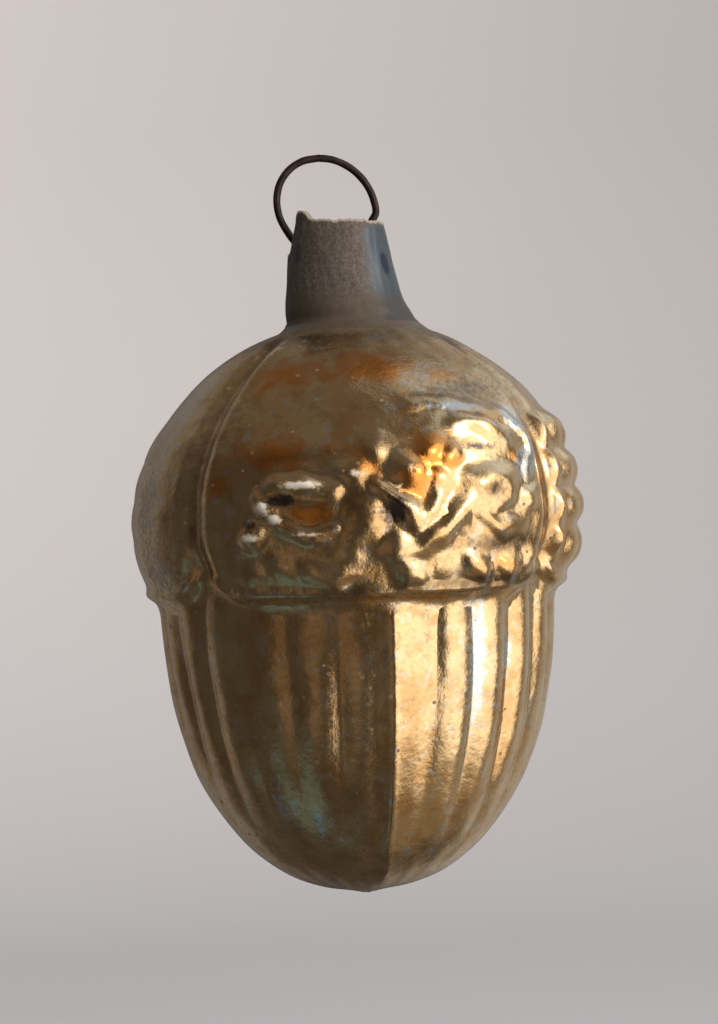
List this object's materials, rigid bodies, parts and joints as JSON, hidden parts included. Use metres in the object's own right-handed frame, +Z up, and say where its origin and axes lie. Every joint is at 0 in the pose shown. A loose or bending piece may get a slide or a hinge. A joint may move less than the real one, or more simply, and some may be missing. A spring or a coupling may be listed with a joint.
{
  "type": "acorn glass ornament",
  "caption": "Acorn-shaped blown glass ornament with a ribbed nut, lobed cup, open broken neck, silver lining, gold lacquer and a spring wire hanging loop.",
  "frame": {"origin": "the hanging point: level with the inside of the top of the wire loop, on the ornament's axis", "axes": "+Z up the axis as the ornament hangs; the mould's two halves meet in the plane X = 0, and the front seam faces -Y"},
  "size_m": [0.04, 0.04, 0.0668],
  "materials": {
    "blown_glass": "thin clear glass, silvered behind, dusty and greyed at the neck",
    "silvering": "old tarnished silver film",
    "gold_lacquer": "transparent gold lacquer over silvered glass, glossy, with darker orange patches and worn spots",
    "hanger_wire": "thin spring wire, darkened and lightly rusted"
  },
  "bodies": {
    "ornament": {"glass_shell": "blown_glass", "silver_lining": "silvering", "lacquer_coat": "gold_lacquer"},
    "hanger": {"hanger_loop": "hanger_wire"},
    "left_leg": {"hanger_leg_left": "hanger_wire"},
    "right_leg": {"hanger_leg_right": "hanger_wire"}
  },
  "joints": [
    {"name": "hanger_pull", "type": "slide", "parent": "ornament", "child": "hanger", "axis": [0, 0, 1], "range_m": [0, 0.013]},
    {"name": "left_leg_flex", "type": "hinge", "parent": "hanger", "child": "left_leg", "pos_m": [-0.00365, 0, -0.009], "axis": [0, 1, 0], "range_deg": [-15, 0]},
    {"name": "right_leg_flex", "type": "hinge", "parent": "hanger", "child": "right_leg", "pos_m": [0.00257, 0, -0.009], "axis": [0, 1, 0], "range_deg": [0, 15]}
  ],
  "couplings": [
    {"joint": "left_leg_flex", "follows": "hanger_pull", "rad_per_m": -14},
    {"joint": "right_leg_flex", "follows": "hanger_pull", "rad_per_m": 14}
  ]
}
